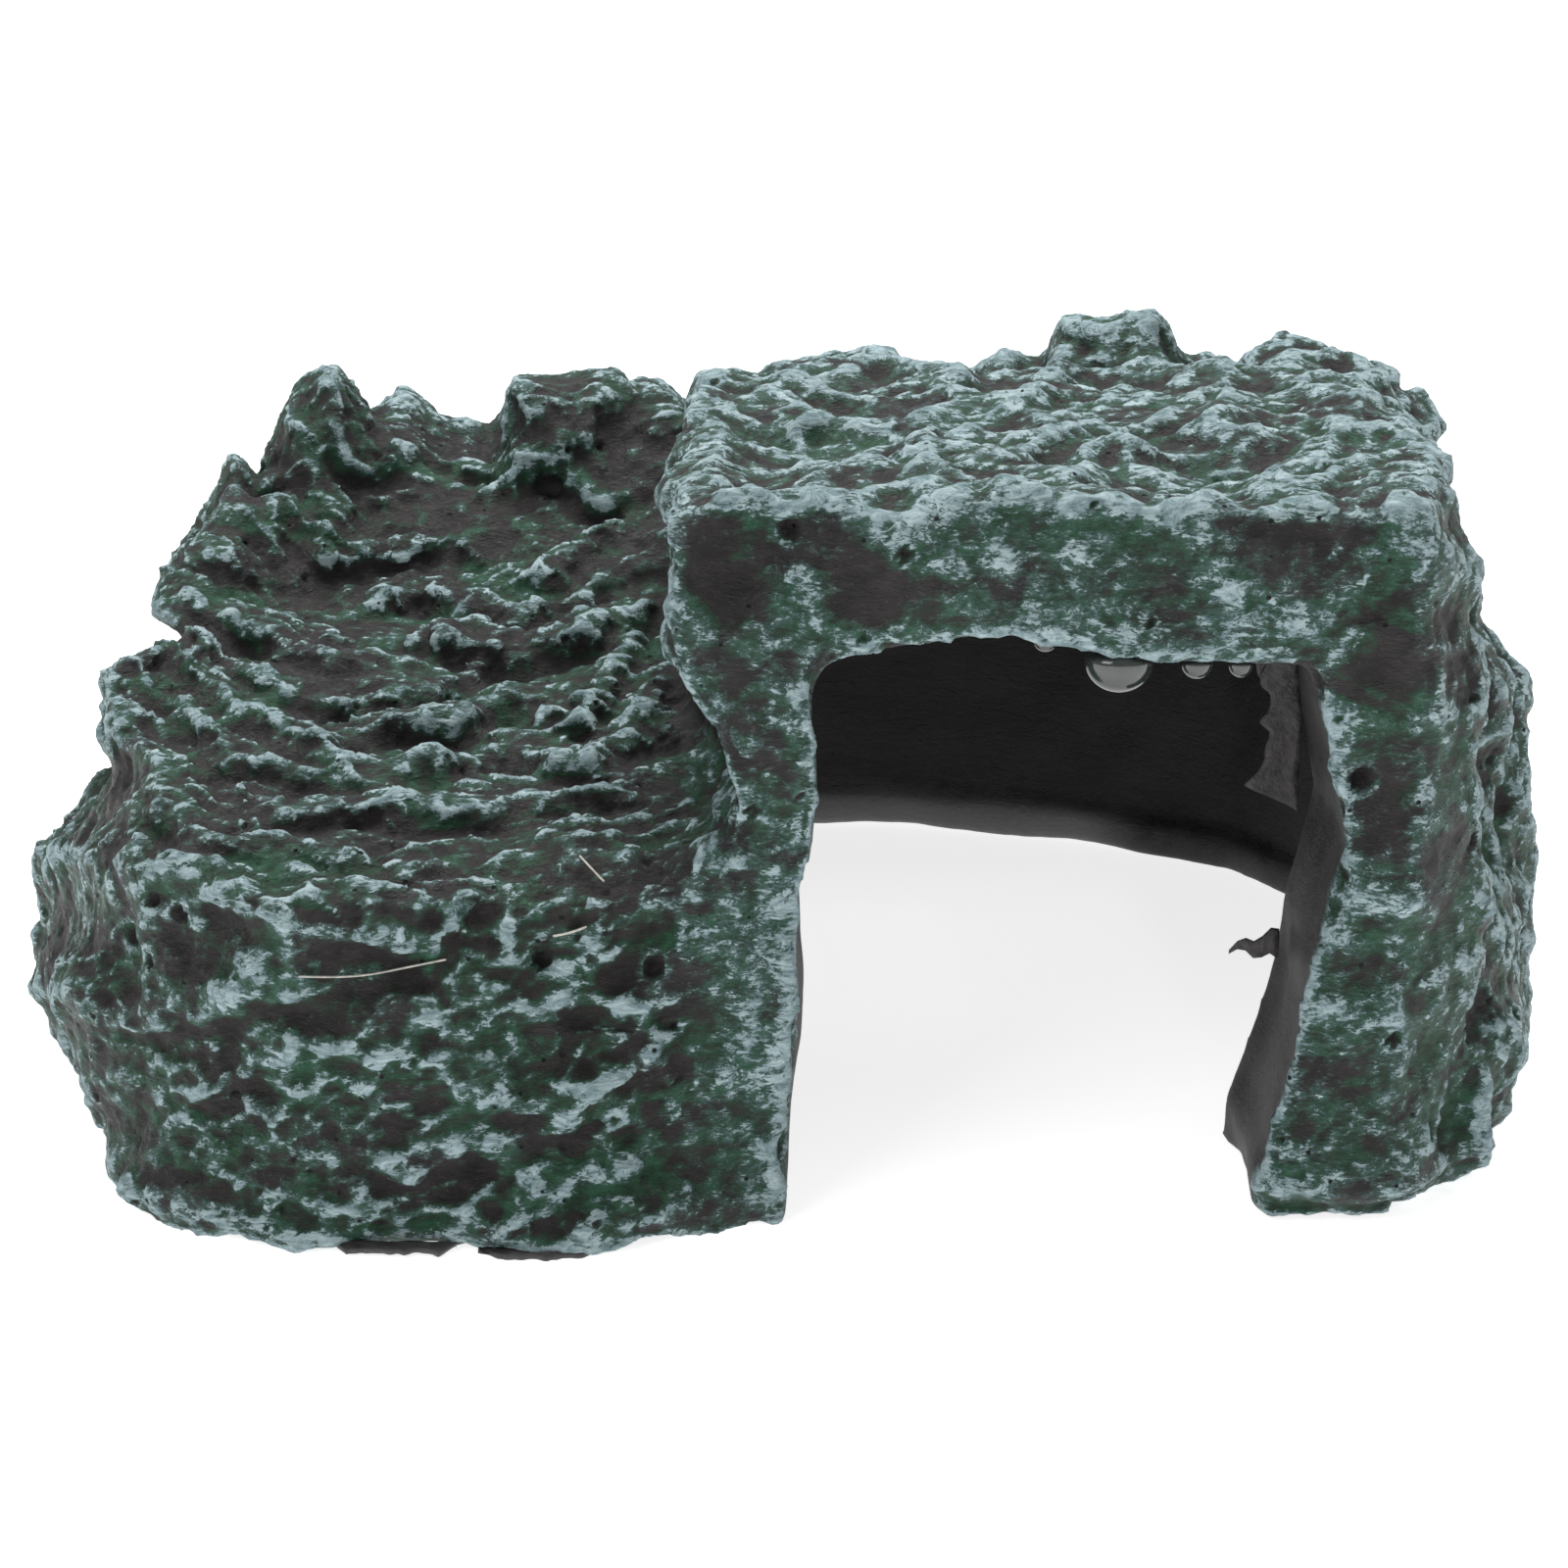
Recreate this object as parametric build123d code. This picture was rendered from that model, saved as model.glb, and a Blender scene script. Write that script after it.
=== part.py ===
from build123d import *
import os

# A cave ornament for a tank: one hollow casting in filled resin, open underneath, that looks like
# a weathered outcrop. A climbing ramp rises from a low bluff at the front left to a knobbly crest.
# Beside it stands a squarish portal, whose flat roof is a basking platform over the entrance.
# Frame: +Z up, origin on the ground at the middle of the outline, -Y is the front with the
# entrance, +X is right. Millimetres.
#
# The casting is made whole by shell() and then parted along flat cuts into named sections, which
# meet face to face. What clings to it is made by itself: runs of cured resin, flash left by the
# mould and bristles shed by the paint brush.

# ---- overall sizes of the casting ----
WIDTH = 168.0
DEPTH = 136.0
PLATFORM_HEIGHT = 73.5     # top of the portal's roof
BLUFF_HEIGHT = 35.0        # front edge of the ramp
CREST_HEIGHT = 66.0        # where the ramp meets the crest knobs
SIDE_DRAFT = 5.0           # degrees that the outer walls lean in

# ---- thicknesses ----
WALL = 5.0
ROOF = 6.5                 # the platform's slab
LIP_IN = 2.0               # how far the rim at the ground stands in from the wall
LIP_HEIGHT = 5.0

# ---- portal ----
PORTAL_IN = 14.0           # from the right side of the outline to the portal's right side
PORTAL_WIDTH = 79.0
PORTAL_SETBACK = 6.0       # from the front of the outline to the portal's face
PORTAL_CORNER = 9.0        # flat across its front right corner
LEFT_JAMB = 13.0           # width of the left jamb at its top
ENTRANCE_WIDTH = 47.0      # at the top
ENTRANCE_HEIGHT = 58.0
JAMB_DEPTH = 22.0
LINTEL_DEPTH = 11.0
# The right side of the entrance swells out to a shoulder and comes back in at the foot.
SHOULDER_HEIGHT = 40.0
SHOULDER_OUT = 3.5
FOOT_IN = 5.0
LEFT_FOOT_OUT = 4.0        # how far the left side goes out at the foot

# ---- ramp ----
RAMP_RUN = 64.0            # from the front to the knee, where it turns steeper
KNEE_HEIGHT = 49.0
STEEP_RUN = 24.0           # from the knee to the crest
LEDGES = 7
LEDGE_RISE = 1.6

# ---- slopes that lean back more: how far in and how high they start, how far in at the top ----
BACK_SLOPE = (5.0, 30.0, 34.0)
LEFT_SLOPE = (3.0, 26.0, 30.0)
RIGHT_SLOPE = (4.5, 50.0, 19.0)

# ---- what clings to the casting ----
BEAD_RADII = (0.9, 2.9, 1.3, 1.8)       # resin runs under the lintel, left to right
BEAD_PLACES = (0.47, 0.60, 0.76, 0.89)  # along the entrance, as shares of its width
BEAD_DROP = 0.95                        # a bead's drop as a share of its radius
BEAD_SETBACK = 4.5                      # from the lintel's face to a bead's middle
FIN_THICKNESS = 1.2
FIN_REACH = 2.6
FIN_TEETH = (0.9, 0.4, 1.0, 0.3, 0.8, 0.35, 0.6)  # reaches down the fin, as shares
THORN_LENGTH = 3.4
THORN_HEIGHT = 24.0
FLASH_THICKNESS = 1.0
BRISTLE_DIAMETER = 0.3
BRISTLE_CLEARANCE = 0.05
# Bristles: left end as a share of half the width, height, length, bulge and degrees of lean.
BRISTLES = [
    (-0.55, 28.0, 14.6, 1.3, 3.0),
    (-0.245, 31.5, 3.6, 0.2, 12.0),
    (-0.225, 27.5, 3.6, 0.3, -30.0),
]

FAR = 4 * WIDTH            # longer than anything here, for cutting tools

# Half-size shares of the outline on the ground, anticlockwise from the left end of the bluff.
OUTLINE = [
    (-0.75, -0.86), (-0.58, -0.975), (-0.19, -0.975), (-0.04, -0.91),
    (0.60, -0.86), (0.70, -0.86), (0.82, -0.79), (0.90, -0.66), (1.0, -0.26), (1.0, 0.04),
    (0.92, 0.38), (0.75, 0.71), (0.49, 0.90), (0.16, 1.0), (-0.23, 1.0), (-0.56, 0.88),
    (-0.80, 0.59), (-0.93, 0.24), (-1.0, -0.12), (-0.95, -0.31), (-0.84, -0.64),
]

# Crest knobs: x as a share of half the width, y behind the top of the ramp, radius at the foot,
# radius at the top, height of the top, and degrees it is turned.
KNOBS = [
    (-0.62, 2.0, 12.0, 4.5, 71.0, 10.0),
    (-0.30, 3.0, 13.0, 8.0, 69.5, 35.0),
    (0.10, 0.0, 13.0, 8.0, 76.0, 20.0),
    (0.47, 1.0, 13.0, 6.5, 79.0, 50.0),
    (0.70, -5.0, 11.0, 5.5, 77.0, 5.0),
]
KNOB_SIDES = 7
KNOB_ROOT = 12.0           # depth that a knob is sunk into the rock

outline_points = [(u * WIDTH / 2, v * DEPTH / 2) for u, v in OUTLINE]
front = -DEPTH / 2
bluff_front = min(y for _, y in outline_points)
portal_front = front + PORTAL_SETBACK
portal_right = WIDTH / 2 - PORTAL_IN
portal_left = portal_right - PORTAL_WIDTH
porch_back = portal_front + JAMB_DEPTH
lintel_back = portal_front + LINTEL_DEPTH
entrance_left = portal_left + LEFT_JAMB
entrance_right = entrance_left + ENTRANCE_WIDTH
knee_y = front + RAMP_RUN
crest_front = knee_y + STEEP_RUN
ceiling = PLATFORM_HEIGHT - ROOF


def box_between(low, high):
    """A box from its lowest to its highest corner."""
    size = [b - a for a, b in zip(low, high)]
    return Pos(*low) * Box(*size, align=(Align.MIN, Align.MIN, Align.MIN))


def prism(plane, points, grow, start, length):
    """A prism along a plane's normal over a polygon, which is first grown by an offset."""
    face = make_face(Polyline(*points, close=True))
    if grow:
        face = offset(face, amount=grow, kind=Kind.INTERSECTION)
    placed = plane.offset(start) * face
    return extrude(placed, amount=length, dir=plane.z_dir)


ALONG_X = Plane((0, 0, 0), x_dir=(0, 1, 0), z_dir=(1, 0, 0))
ALONG_Y = Plane((0, 0, 0), x_dir=(-1, 0, 0), z_dir=(0, 1, 0))


def outcrop(inset, bottom, top):
    """The drafted block inside the outline, moved in by inset."""
    face = make_face(Polyline(*outline_points, close=True))
    if inset:
        face = offset(face, amount=-inset, kind=Kind.INTERSECTION)
    block = extrude(face, amount=PLATFORM_HEIGHT, taper=SIDE_DRAFT)
    return block & box_between((-FAR, -FAR, bottom), (FAR, FAR, top))


def portal_block():
    """The squarish mass around the entrance, as if it were solid."""
    back = crest_front + KNOB_ROOT / 2
    plan = [
        (portal_left, portal_front), (portal_right - PORTAL_CORNER, portal_front),
        (portal_right, portal_front + PORTAL_CORNER), (portal_right, back), (portal_left, back),
    ]
    return extrude(make_face(Polyline(*plan, close=True)), amount=PLATFORM_HEIGHT)


def above_ramp(grow, stepped):
    """All the space over the ramp and its crest, left of the portal."""
    points = [(front - WALL, BLUFF_HEIGHT)]
    for step in range(1, LEDGES if stepped else 1):
        share = step / LEDGES
        y = front + RAMP_RUN * share
        z = BLUFF_HEIGHT + (KNEE_HEIGHT - BLUFF_HEIGHT) * share
        points += [(y, z - LEDGE_RISE / 2), (y + LEDGE_RISE / 2, z + LEDGE_RISE / 2)]
    points += [(knee_y, KNEE_HEIGHT), (crest_front, CREST_HEIGHT), (FAR, CREST_HEIGHT)]
    points += [(FAR, FAR), (front - WALL, FAR)]
    return prism(ALONG_X, points, grow, -FAR, FAR + portal_left + grow)


def beyond(slope, reach, plane, grow):
    """All the space outside a slope that leans back from a wall."""
    foot_in, foot_z, brow_in = slope
    lean = (brow_in - foot_in) / (PLATFORM_HEIGHT - foot_z)
    low = (reach - foot_in + lean * foot_z, 0)
    high = (reach - foot_in - lean * (FAR - foot_z), FAR)
    return prism(plane, [low, (FAR, 0), (FAR, FAR), high], grow, -FAR, 2 * FAR)


def slopes(grow):
    """The space outside the three leaning slopes."""
    behind = beyond(BACK_SLOPE, DEPTH / 2, ALONG_X, grow)
    left = beyond(LEFT_SLOPE, WIDTH / 2, ALONG_Y, grow)
    right = mirror(beyond(RIGHT_SLOPE, WIDTH / 2, ALONG_Y, grow), about=Plane.YZ)
    return [behind, left, right]


def knob(x, y, foot, top_radius, top, turn):
    """A faceted lump of rock, narrower at its top."""
    base = Pos(x, y, top - KNOB_ROOT) * Rot(0, 0, turn) * RegularPolygon(foot, KNOB_SIDES)
    cap = Pos(x, y, top) * Rot(0, 0, turn) * RegularPolygon(top_radius, KNOB_SIDES)
    return loft([base, cap], ruled=True)


def solid_rock():
    """The outcrop as if it were solid."""
    rock = outcrop(0, 0, PLATFORM_HEIGHT) + portal_block()
    rock -= above_ramp(0, True)
    for space in slopes(0):
        rock -= space
    for share, behind, *rest in KNOBS:
        rock += knob(share * WIDTH / 2, crest_front + behind, *rest)
    return rock


def cave():
    """The hollow inside: the chamber behind the portal and the one under the ramp."""
    hollow = outcrop(WALL, LIP_HEIGHT, ceiling) + outcrop(WALL + LIP_IN, 0, LIP_HEIGHT)
    hollow -= above_ramp(WALL, False)
    for space in slopes(WALL):
        hollow -= space
    jambs = box_between((portal_left, -FAR, -FAR), (FAR, porch_back, ENTRANCE_HEIGHT))
    lintel = box_between((portal_left, -FAR, ENTRANCE_HEIGHT), (FAR, lintel_back, FAR))
    return hollow - jambs - lintel


def right_edge(z):
    """The x of the right side of the entrance at height z."""
    if z > SHOULDER_HEIGHT:
        share = (ENTRANCE_HEIGHT - z) / (ENTRANCE_HEIGHT - SHOULDER_HEIGHT)
        return entrance_right + SHOULDER_OUT * share
    return entrance_right - FOOT_IN + (SHOULDER_OUT + FOOT_IN) * z / SHOULDER_HEIGHT


def entrance():
    """The way in through the portal."""
    left_foot = entrance_left - LEFT_FOOT_OUT
    sides = [(left_foot, -WALL), (left_foot, 0), (entrance_left, ENTRANCE_HEIGHT)]
    sides += [(right_edge(z), z) for z in (ENTRANCE_HEIGHT, SHOULDER_HEIGHT, 0)]
    sides += [(right_edge(0), -WALL)]
    return prism(ALONG_Y, [(-x, z) for x, z in sides], 0, -FAR, FAR + porch_back)


def shell():
    """The whole casting."""
    return solid_rock() - cave() - entrance()


def sections(casting):
    """The casting's named sections, parted by flat cuts through its walls."""
    mid = entrance_left + ENTRANCE_WIDTH / 2
    left, right = -0.56 * WIDTH / 2, 0.72 * WIDTH / 2
    door, bluff, cliff = ENTRANCE_HEIGHT, BLUFF_HEIGHT - LEDGE_RISE, portal_left + WALL
    regions = {
        "climbing_ramp": [((-FAR, -FAR, bluff), (portal_left, FAR, FAR))],
        "front_bluff": [((-FAR, -FAR, -FAR), (portal_left, porch_back, bluff))],
        "left_flank": [((-FAR, porch_back, -FAR), (left, FAR, bluff))],
        "basking_roof": [((portal_left, lintel_back, door), (FAR, FAR, FAR))],
        "lintel": [((portal_left, -FAR, door), (FAR, lintel_back, FAR))],
        "left_jamb": [((portal_left, -FAR, -FAR), (mid, porch_back, door))],
        "right_jamb": [((mid, -FAR, -FAR), (FAR, porch_back, door))],
        "right_flank": [((right, porch_back, -FAR), (FAR, FAR, door))],
        "ramp_cliff": [((portal_left, porch_back, bluff), (cliff, crest_front, door))],
        "back_wall": [
            ((left, porch_back, -FAR), (right, FAR, bluff)),
            ((portal_left, crest_front, bluff), (right, FAR, door)),
        ],
    }
    parted = {}
    for name, boxes in regions.items():
        region = box_between(*boxes[0])
        for corners in boxes[1:]:
            region += box_between(*corners)
        parted[name] = casting & region
    return parted


def lintel_drips():
    """Beads of resin that ran down and cured under the lintel."""
    beads = []
    for radius, share in zip(BEAD_RADII, BEAD_PLACES):
        ball = scale(Sphere(radius), by=(1, 0.8, BEAD_DROP))
        half = ball & box_between((-radius, -radius, -radius), (radius, radius, 0))
        x = entrance_left + share * ENTRANCE_WIDTH
        beads.append(Pos(x, portal_front + BEAD_SETBACK, ENTRANCE_HEIGHT) * half)
    return Compound(beads)


def jamb_flash():
    """A ragged fin of mould flash down the right jamb's inner edge, and a thorn under it."""
    drop = (ENTRANCE_HEIGHT - SHOULDER_HEIGHT) / (len(FIN_TEETH) - 1)
    heights = [ENTRANCE_HEIGHT - drop * i for i in range(len(FIN_TEETH))]
    tips = [(right_edge(z) - reach * FIN_REACH, z) for reach, z in zip(FIN_TEETH, heights)]
    roots = [(right_edge(SHOULDER_HEIGHT), SHOULDER_HEIGHT), (entrance_right, ENTRANCE_HEIGHT)]
    low, high = THORN_HEIGHT - THORN_LENGTH / 3, THORN_HEIGHT + THORN_LENGTH / 3
    spike = [
        (right_edge(high), high), (right_edge(high) - THORN_LENGTH, high),
        (right_edge(low) - THORN_LENGTH / 3, low), (right_edge(low), low),
    ]
    pieces = []
    for outline in (tips + roots, spike):
        points = [(-x, z) for x, z in outline]
        pieces.append(prism(ALONG_Y, points, 0, porch_back - FIN_THICKNESS, FIN_THICKNESS))
    return Compound(pieces)


def foot_flash(casting):
    """Thin tongues of resin squeezed out along the ground in front of the bluff."""
    tongues = []
    for low, high in [(-0.50, -0.38), (-0.33, -0.21)]:
        corner = (high * WIDTH / 2, bluff_front + WALL / 2, FLASH_THICKNESS)
        tongue = box_between((low * WIDTH / 2, front, 0), corner) - casting
        tongues.append(tongue.solids().sort_by(Axis.Y)[0])
    return Compound(tongues)


def bristle(share, z, length, bulge, lean):
    """A brush bristle held by paint on the bluff's face, curved over its length."""
    gap = BRISTLE_DIAMETER / 2 + BRISTLE_CLEARANCE
    face = Plane((share * WIDTH / 2, bluff_front, 0), x_dir=(1, 0, 0), z_dir=(0, -1, 0))
    leaning = face * Rot(-SIDE_DRAFT, 0, 0) * Pos(0, z, gap) * Rot(0, 0, lean)
    curve = leaning * ThreePointArc((0, 0), (length / 2, bulge), (length, 0))
    return sweep(Plane(curve @ 0, z_dir=curve % 0) * Circle(BRISTLE_DIAMETER / 2), path=curve)


os.makedirs("parts", exist_ok=True)
casting = shell()
for name, piece in sections(casting).items():
    export_step(piece, f"parts/{name}.step")
export_step(lintel_drips(), "parts/lintel_drips.step")
export_step(jamb_flash(), "parts/jamb_flash.step")
export_step(foot_flash(casting), "parts/foot_flash.step")
export_step(Compound([bristle(*values) for values in BRISTLES]), "parts/paint_bristles.step")
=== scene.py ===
# %% [markdown]
# # A cave ornament cast in filled resin
#
# The real object is a rock hide for a tank. Polyester resin, thickened with stone dust, is poured
# in a rubber mould, so one hollow casting carries everything: a climbing ramp, a crest and a
# squarish portal with a flat roof. It is then washed with dark green and dry-brushed with pale
# blue-grey. The frame gives the solids in metres, with the front towards -Y. Nothing here moves
# them: each piece made below takes its place from them.

# %% Load the frame
import math
import random
import bmesh
import bpy
import numpy as np
from mathutils import Matrix, Vector, noise
from mathutils.bvhtree import BVHTree


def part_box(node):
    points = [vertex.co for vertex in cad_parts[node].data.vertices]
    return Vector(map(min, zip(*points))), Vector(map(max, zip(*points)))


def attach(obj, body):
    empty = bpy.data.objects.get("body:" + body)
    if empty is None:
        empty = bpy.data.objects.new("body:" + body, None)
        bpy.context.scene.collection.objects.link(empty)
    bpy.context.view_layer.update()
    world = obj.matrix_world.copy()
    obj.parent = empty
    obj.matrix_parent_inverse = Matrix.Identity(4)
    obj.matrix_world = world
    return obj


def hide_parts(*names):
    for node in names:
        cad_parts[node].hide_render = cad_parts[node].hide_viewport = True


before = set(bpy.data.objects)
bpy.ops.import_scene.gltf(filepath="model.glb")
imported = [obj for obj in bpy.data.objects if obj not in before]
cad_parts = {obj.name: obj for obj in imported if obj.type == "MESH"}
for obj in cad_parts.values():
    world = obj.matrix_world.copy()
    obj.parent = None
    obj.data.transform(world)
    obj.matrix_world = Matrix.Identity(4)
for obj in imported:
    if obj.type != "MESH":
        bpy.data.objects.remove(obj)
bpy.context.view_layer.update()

MM = 0.001
ROUGH_SPACING = 0.8       # millimetres between the points of the first skin
FINE_SPACING = 0.56       # and of the second
noise.seed_set(41)      # without a seed, noise_vector starts from the clock

# %% [markdown]
# ## The rough casting
#
# A sculptor starts a rock with big masses and only then cuts the surface. The masses are here
# already: ten CAD sections that meet face to face. Their triangles are copied, welded, and thrown
# together with some boulders, which swell the flanks and the crest as lumps of clay would. A voxel
# remesh then melts all of it to one skin with evenly spaced points, which is what sculpting needs.

# %% Gather the masses
SECTIONS = ["climbing_ramp", "front_bluff", "left_flank", "basking_roof", "lintel",
            "left_jamb", "right_jamb", "right_flank", "ramp_cliff", "back_wall"]

rough = bmesh.new()
for name in SECTIONS:
    rough.from_mesh(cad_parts[name].data)
bmesh.ops.remove_doubles(rough, verts=rough.verts[:], dist=0.01 * MM)
print("welded sections:", len(rough.verts), "points")


# %% Swell it with boulders
def boulder(mesh, centre, radii, turn=0.0):
    """An egg of rock: centre and radii in millimetres, turned about Z in degrees."""
    place = Matrix.Translation(Vector(centre) * MM)
    place = place @ Matrix.Rotation(math.radians(turn), 4, "Z")
    place = place @ Matrix.Diagonal([r * MM for r in radii] + [1])
    bmesh.ops.create_icosphere(mesh, subdivisions=3, radius=1.0, matrix=place)


# Each boulder's centre, its three radii, and its turn.
BOULDERS = {
    "low left shoulder": ((-75, -6, 13), (9, 20, 14), 8),
    "middle left shoulder": ((-66, -4, 36), (8, 16, 9), 12),
    "upper left shoulder": ((-59, 16, 53), (8, 12, 9), 20),
    "left peak": ((-52, 24, 63), (7, 8, 7), 0),
    "second crest": ((-22, 24, 61), (9, 7, 7), 0),
    "end of the second crest": ((-12, 23, 62), (7, 7, 6), 0),
    "mound on the roof": ((6, 14, 68), (12, 12, 5), 0),
    "crest knob": ((38, 23, 69), (8, 8, 8), 0),
    "right crest": ((58, 18, 69), (8, 9, 6), 0),
    "right edge of the roof": ((64, 0, 67), (7, 22, 6), 0),
    "rear right corner of the roof": ((67, 12, 65), (8, 12, 7), 0),
    "right outcrop": ((74, -22, 36), (10, 11, 15), 0),
    "top of the right outcrop": ((73, -32, 44), (5, 8, 8), 0),
    "rear right outcrop": ((75, 4, 22), (9, 18, 22), -8),
    "pillar foot": ((67, -42, 8), (12, 14, 14), -30),
    "bluff's left foot": ((-63, -45, 12), (10, 13, 16), 40),
    "bluff's left shoulder": ((-63, -44, 28), (7, 11, 10), 40),
}
for centre, radii, turn in BOULDERS.values():
    boulder(rough, centre, radii, turn)
print("boulders:", len(BOULDERS))


# %% Melt it to one skin
def finished(name, mesh):
    """Put a bmesh in the scene as an object at the origin."""
    data = bpy.data.meshes.new(name)
    mesh.to_mesh(data)
    mesh.free()
    piece = bpy.data.objects.new(name, data)
    bpy.context.scene.collection.objects.link(piece)
    return piece


def apply_modifiers(piece):
    """Make the result of a piece's modifiers its mesh."""
    seen = piece.evaluated_get(bpy.context.evaluated_depsgraph_get())
    baked = bpy.data.meshes.new_from_object(seen)
    piece.modifiers.clear()
    old, piece.data = piece.data, baked
    bpy.data.meshes.remove(old)
    return piece


def melted(piece, spacing):
    """The piece as one skin, its points about spacing millimetres apart."""
    melt = piece.modifiers.new("melt", "REMESH")
    melt.mode = "VOXEL"
    melt.voxel_size = spacing * MM
    apply_modifiers(piece)
    print("skin:", len(piece.data.vertices), "points", spacing, "mm apart")
    return piece


casting = melted(finished("casting", rough), ROUGH_SPACING)

# %% [markdown]
# ## Tools for sculpting in code
#
# Every stroke below is the same kind of move: take all the points, work out how far each should
# travel, and push it. Noise gives the randomness of stone. `noise.voronoi` gives more: it splits
# space in cells, and the distance to a cell's middle is a dish with a sharp rim, which is just
# what a chisel or running water leaves.


# %% Sculpting tools
class Skin:
    """The casting's points in millimetres, with their neighbours."""

    def __init__(self, mesh):
        self.mesh = mesh
        self.count = len(mesh.vertices)
        flat = np.empty(self.count * 3, np.float32)
        mesh.vertices.foreach_get("co", flat)
        self.at = flat.reshape(-1, 3).astype(float) / MM
        ends = np.empty(len(mesh.edges) * 2, np.int32)
        mesh.edges.foreach_get("vertices", ends)
        self.a, self.b = ends.reshape(-1, 2).T
        degree = np.bincount(self.a, minlength=self.count) + np.bincount(self.b, minlength=self.count)
        self.degree = np.maximum(degree, 1)

    def averaged(self, values, times=1):
        """Each value replaced by the mean of its neighbours, some times over."""
        for _ in range(times):
            columns = values.reshape(self.count, -1).T
            summed = [np.bincount(self.a, v[self.b], self.count)
                      + np.bincount(self.b, v[self.a], self.count) for v in columns]
            values = (np.array(summed) / self.degree).T.reshape(values.shape)
        return values

    def store(self):
        """Write the points back to the mesh and return fresh normals."""
        self.mesh.vertices.foreach_set("co", (self.at * MM).astype(np.float32).ravel())
        self.mesh.update()
        flat = np.empty(self.count * 3, np.float32)
        self.mesh.vertex_normals.foreach_get("vector", flat)
        return flat.reshape(-1, 3).astype(float)


def ease(low, high, value):
    """0 below low, 1 above high, and a smooth rise between."""
    t = np.clip((value - low) / (high - low), 0, 1)
    return t * t * (3 - 2 * t)


def cloud(points, size, seed=0.0, octaves=3):
    """Soft noise from -1 to 1, with lumps about size millimetres wide."""
    return np.array([noise.fractal(Vector(p), 0.9, 2.1, octaves) for p in points / size + seed])


def dishes(points, size, seed=0.0, lean=(0, 0, 0)):
    """Chiselled cells: 0 in a dish's middle to about 1 at its rim, tipped towards lean."""
    out = np.empty(len(points))
    tip = Vector(lean)
    for i, p in enumerate(points / size + seed):
        reach, middles = noise.voronoi(Vector(p))
        out[i] = 1.25 * reach[0] ** 1.5 + tip.dot(Vector(p) - middles[0])
    return out


skin = Skin(casting.data)
print("neighbours known for", skin.count, "points")

# %% [markdown]
# ## Which parts are which
#
# Brush and chisel treat each part of the rock in their own way, so each point learns where it
# belongs. A point is sheltered if a ray straight up from it meets rock: that is the hollow and
# the inside of the entrance, which come out of the mould smooth and are never painted.

# %% Shelter and regions
UP = Vector((0, 0, 1))
PORTAL_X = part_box("lintel")[0].x / MM
PORTAL_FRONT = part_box("lintel")[0].y / MM


def regions(normal):
    """How much each point belongs to the hollow and to each part of the outside, from 0 to 1."""
    tree = BVHTree.FromObject(casting, bpy.context.evaluated_depsgraph_get())
    start = (skin.at + 0.8 * normal) * MM
    covered = np.array([tree.ray_cast(Vector(p), UP)[0] is not None for p in start], float)
    x, y, z = skin.at.T
    nx, ny, nz = skin.averaged(normal, 8).T
    # Scoops in the outer walls have rock over them too, but they face outwards.
    outward = (ny < -0.3) & (y < -46) | (nx < -0.3) & (x < -58)
    outward |= (nx > 0.3) & (x > 60) | (ny > 0.3) & (y > 45)
    under_cliff = (x > -18) & (x < 0) & (y < -32) & (z > 37)
    outward |= under_cliff & (nz > -0.2) & (nx < 0.5)
    covered[outward] = 0
    covered = ease(0.3, 0.8, skin.averaged(covered, 3))
    where = {"hollow": covered, "open": 1 - covered}
    left = 1 - ease(PORTAL_X - 2, PORTAL_X + 2, x)
    front = ease(0.45, 0.75, -ny)
    where["ramp"] = where["open"] * left * ease(0.2, 0.45, nz) * (1 - ease(20, 34, y))
    where["roof"] = where["open"] * (1 - left) * ease(0.35, 0.7, nz) * ease(62, 68, z)
    where["portal"] = where["open"] * ease(PORTAL_X - 3, PORTAL_X + 1, x) * front * (1 - ease(66, 70, x))
    where["portal"] *= 1 - ease(PORTAL_FRONT + 3, PORTAL_FRONT + 10, y)
    where["bluff"] = where["open"] * left * front * (1 - ease(36, 41, z))
    rest = where["open"] - where["ramp"] - where["roof"] - where["portal"] - where["bluff"]
    where["flank"] = np.clip(rest, 0, 1)
    print("points per region:", {k: int(v.sum()) for k, v in where.items()})
    return where


skin.at += 0.9 * (skin.averaged(skin.at, 6) - skin.at)
normal = skin.store()
where = regions(normal)

# %% [markdown]
# ## Rough sculpting
#
# First the big moves: the ramp is dished like a small amphitheatre, the flanks are swelled here
# and there, and the portal's left cliff is hollowed out under its top.


# %% Strokes and big moves
def felt(mask, make):
    """What make gives for the points that mask covers, times the mask."""
    out = np.zeros(skin.count)
    there = mask > 0.01
    out[there] = make(skin.at[there]) * mask[there]
    return out


def distance_to(points, path):
    """Each point's distance to a path, which side of it the point is on, and how near its ends."""
    nearest = np.full(len(points), 1e9)
    side = np.zeros(len(points))
    along_path = np.zeros(len(points))
    done = 0.0
    for start, end in zip(path[:-1], path[1:]):
        start, end = np.array(start, float), np.array(end, float)
        along = end - start
        t = np.clip((points - start) @ along / (along @ along), 0, 1)
        gap = points - start - t[:, None] * along
        reach = np.linalg.norm(gap, axis=1)
        closer = reach < nearest
        side[closer] = np.sign(along[0] * gap[closer, 1] - along[1] * gap[closer, 0])
        length = np.linalg.norm(along)
        along_path[closer] = done + t[closer] * length
        nearest[closer] = reach[closer]
        done += length
    to_end = np.minimum(along_path, done - along_path)
    return nearest, side, to_end


def stroke(path, width, height):
    """A soft ridge (or groove) along a path of points in millimetres."""
    nearest = distance_to(skin.at, path)[0]
    return height * np.exp(-(nearest / width) ** 2)


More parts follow.
